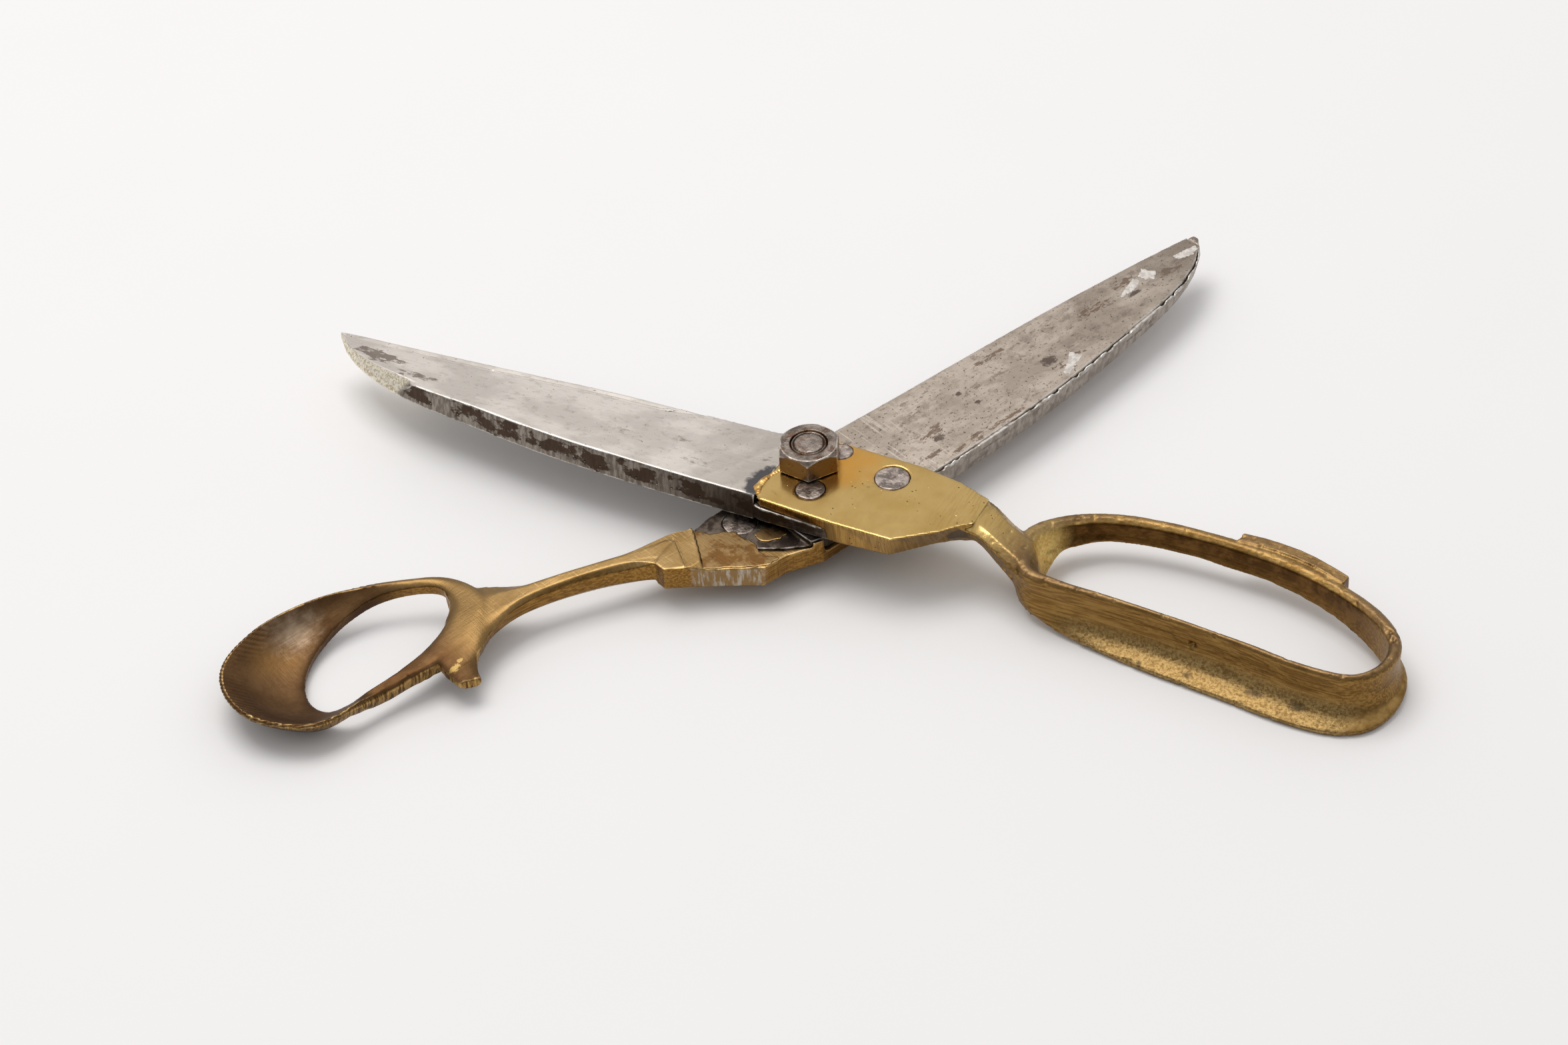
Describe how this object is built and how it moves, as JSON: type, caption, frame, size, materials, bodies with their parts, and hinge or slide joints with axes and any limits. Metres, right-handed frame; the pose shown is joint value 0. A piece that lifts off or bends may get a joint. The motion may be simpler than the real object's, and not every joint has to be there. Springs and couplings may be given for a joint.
{
  "type": "fabric shears",
  "caption": "Tailor's fabric shears with broad steel blades, cast brass finger and thumb bows and a bolted pivot with a hex nut.",
  "frame": {"origin": "the middle of the flat underside of the pivot bolt's head, on the pivot axis, where the shears rest", "axes": "+Z along the pivot axis from the bolt head to the nut; seen from above the upper blade points to -X and +Y, and the finger bow lies at +X and -Y"},
  "size_m": [0.2542, 0.1617, 0.0231],
  "materials": {
    "forged_iron": "worn and spotted with rust, dark at the root",
    "cutting_steel": "ground, scratched, with rust spots and pale residue",
    "finger_brass": "polished plate, sand-cast and brushed bow with pits",
    "thumb_brass": "smooth brown patina with golden worn edges",
    "rivet_iron": "filed flush, pitted",
    "bolt_steel": "worn grey brown with rust spots"
  },
  "bodies": {
    "lower_half": {"lower_blade": "forged_iron", "lower_facing": "cutting_steel", "thumb_handle": "thumb_brass", "lower_rivet_front": "rivet_iron", "lower_rivet_side": "rivet_iron", "lower_rivet_rear": "rivet_iron", "pivot_bolt": "bolt_steel", "pivot_nut": "bolt_steel"},
    "upper_half": {"upper_blade": "forged_iron", "upper_facing": "cutting_steel", "finger_handle": "finger_brass", "upper_rivet_front": "rivet_iron", "upper_rivet_side": "rivet_iron", "upper_rivet_rear": "rivet_iron"}
  },
  "joints": [
    {"name": "pivot_turn", "type": "hinge", "parent": "lower_half", "child": "upper_half", "pos_m": [0, 0, 0.011], "axis": [0, 0, 1], "range_deg": [-109.2, 20]}
  ]
}
